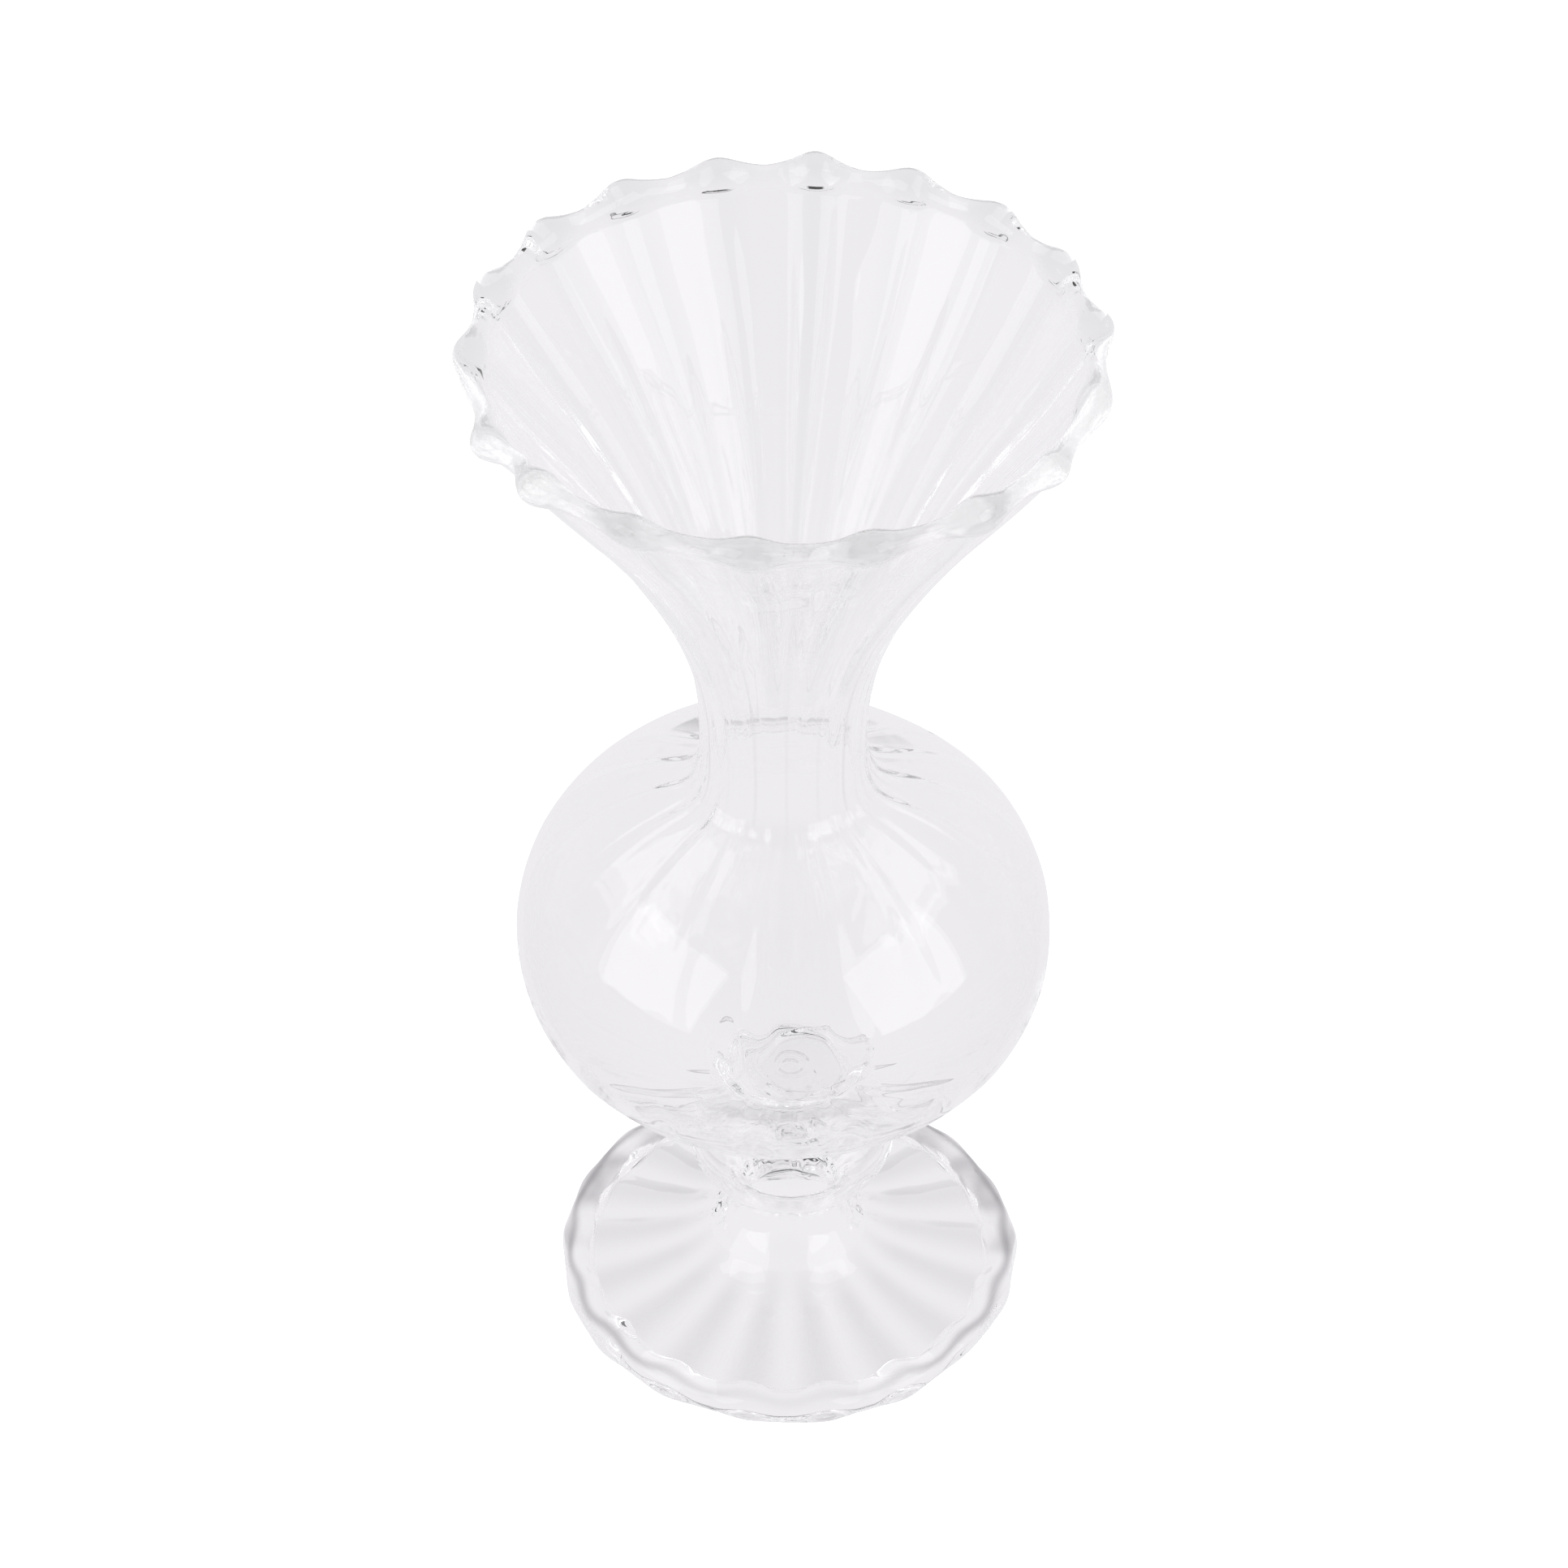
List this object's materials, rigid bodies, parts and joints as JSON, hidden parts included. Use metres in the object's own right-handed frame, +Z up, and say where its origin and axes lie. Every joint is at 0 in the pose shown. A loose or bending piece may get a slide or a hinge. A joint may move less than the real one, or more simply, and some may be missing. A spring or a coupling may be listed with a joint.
{
  "type": "bud vase",
  "caption": "Clear ribbed glass bud vase with a beaded trumpet mouth, a slim neck, a round water globe, a hollow knop and a wide ribbed foot.",
  "frame": {"origin": "centre of the foot's underside, on the surface the vase stands on", "axes": "+Z up along the vase's axis, -Y towards the front; the ribs repeat round +Z"},
  "size_m": [0.0862, 0.0861, 0.1655],
  "materials": {
    "clear_glass": "polished, flame-worked, colourless",
    "thick_glass": "polished, melted thick edges and gathers, colourless"
  },
  "bodies": {
    "root": {"rim_bead": "thick_glass", "trumpet_mouth": "clear_glass", "neck": "clear_glass", "globe": "clear_glass", "floor_seal": "thick_glass", "knop": "clear_glass", "stem": "clear_glass", "foot_disc": "clear_glass", "foot_rim": "thick_glass"}
  },
  "joints": []
}
